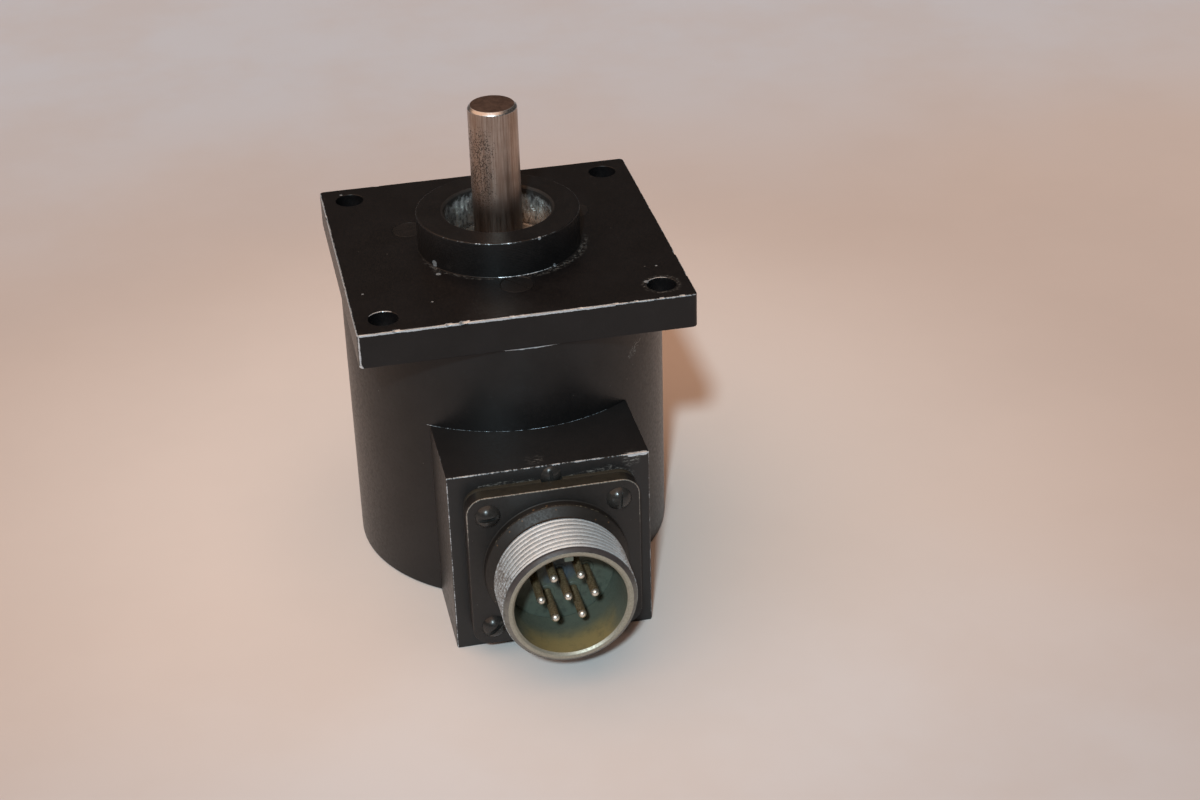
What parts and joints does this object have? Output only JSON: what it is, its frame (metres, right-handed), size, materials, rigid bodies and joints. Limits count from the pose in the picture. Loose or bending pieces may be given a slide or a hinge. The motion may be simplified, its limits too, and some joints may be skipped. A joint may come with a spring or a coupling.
{
  "type": "rotary encoder",
  "caption": "Optical shaft encoder: square mounting flange with pilot boss, ball-bearing shaft, round housing and a side block with a threaded pin connector.",
  "frame": {"origin": "on the shaft axis, in the plane of the mounting face at the foot of the pilot boss", "axes": "+Z along the shaft out of the pilot boss; -Y is the way the connector faces; +X completes the right-handed frame"},
  "size_m": [0.0636, 0.0948, 0.0913],
  "materials": {
    "black_paint": "satin black over aluminium, worn to bare metal along the edges",
    "rubber": "matt",
    "bare_aluminium": "turned",
    "bearing_steel": "ground and polished",
    "zinc_steel": "plain bright steel",
    "tarnished_steel": "ground, browned with age, lightly pitted",
    "brass": "machined",
    "gilt_contact": "tarnished sides, rubbed bright tips",
    "worn_plating": "olive drab plating, worn to bare metal on the thread, black on the flange",
    "connector_insulator": "matt",
    "black_plastic": "moulded",
    "sensor_face": "polished",
    "clear_glass": "clear",
    "etched_disc": "etched and polished",
    "circuit_board": "lacquered glass fibre",
    "lead_insulation": "extruded sleeving"
  },
  "bodies": {
    "root": {"mounting_flange": "black_paint", "flange_screws": "black_paint", "flange_oring": "rubber", "housing": "black_paint", "bearing_cartridge": "bare_aluminium", "front_outer_ring": "bearing_steel", "front_shields": "zinc_steel", "rear_outer_ring": "bearing_steel", "rear_shields": "zinc_steel", "outer_spacer": "bare_aluminium", "preload_washer": "zinc_steel", "bearing_retaining_ring": "zinc_steel", "led_holder": "black_plastic", "led": "clear_glass", "led_holder_screws": "zinc_steel", "led_leads": "lead_insulation", "reticle": "clear_glass", "reticle_holder": "black_plastic", "sensor_array": "sensor_face", "main_board": "circuit_board", "upper_standoffs": "brass", "lower_standoffs": "brass", "driver_chips": "black_plastic", "capacitors": "bare_aluminium", "board_header": "black_plastic", "signal_leads": "lead_insulation", "connector_gasket": "rubber", "connector_shell": "worn_plating", "connector_insert": "connector_insulator", "insert_retainer": "bare_aluminium", "contact_pins": "gilt_contact", "connector_screws": "black_paint", "block_screw": "black_paint", "rear_cover": "black_paint", "rear_cover_oring": "rubber", "rear_cover_screws": "zinc_steel"},
    "rotor": {"shaft": "tarnished_steel", "front_inner_ring": "bearing_steel", "rear_inner_ring": "bearing_steel", "inner_spacer": "zinc_steel", "front_shaft_clip": "zinc_steel", "rear_shaft_clip": "zinc_steel", "disc_hub": "bare_aluminium", "hub_set_screws": "zinc_steel", "code_disc": "etched_disc", "disc_clamp": "bare_aluminium", "disc_clamp_screws": "zinc_steel"},
    "front_cage": {"front_bearing_balls": "bearing_steel", "front_bearing_cage": "brass"},
    "rear_cage": {"rear_bearing_balls": "bearing_steel", "rear_bearing_cage": "brass"}
  },
  "joints": [
    {"name": "shaft_spin", "type": "hinge", "parent": "root", "child": "rotor", "pos_m": [0, 0, 0], "axis": [0, 0, 1], "continuous": true},
    {"name": "front_cage_spin", "type": "hinge", "parent": "root", "child": "front_cage", "pos_m": [0, 0, -0.00417], "axis": [0, 0, 1], "continuous": true},
    {"name": "rear_cage_spin", "type": "hinge", "parent": "root", "child": "rear_cage", "pos_m": [0, 0, -0.02857], "axis": [0, 0, 1], "continuous": true}
  ],
  "couplings": [
    {"joint": "front_cage_spin", "follows": "shaft_spin", "ratio": 0.37499},
    {"joint": "rear_cage_spin", "follows": "shaft_spin", "ratio": 0.37499}
  ]
}
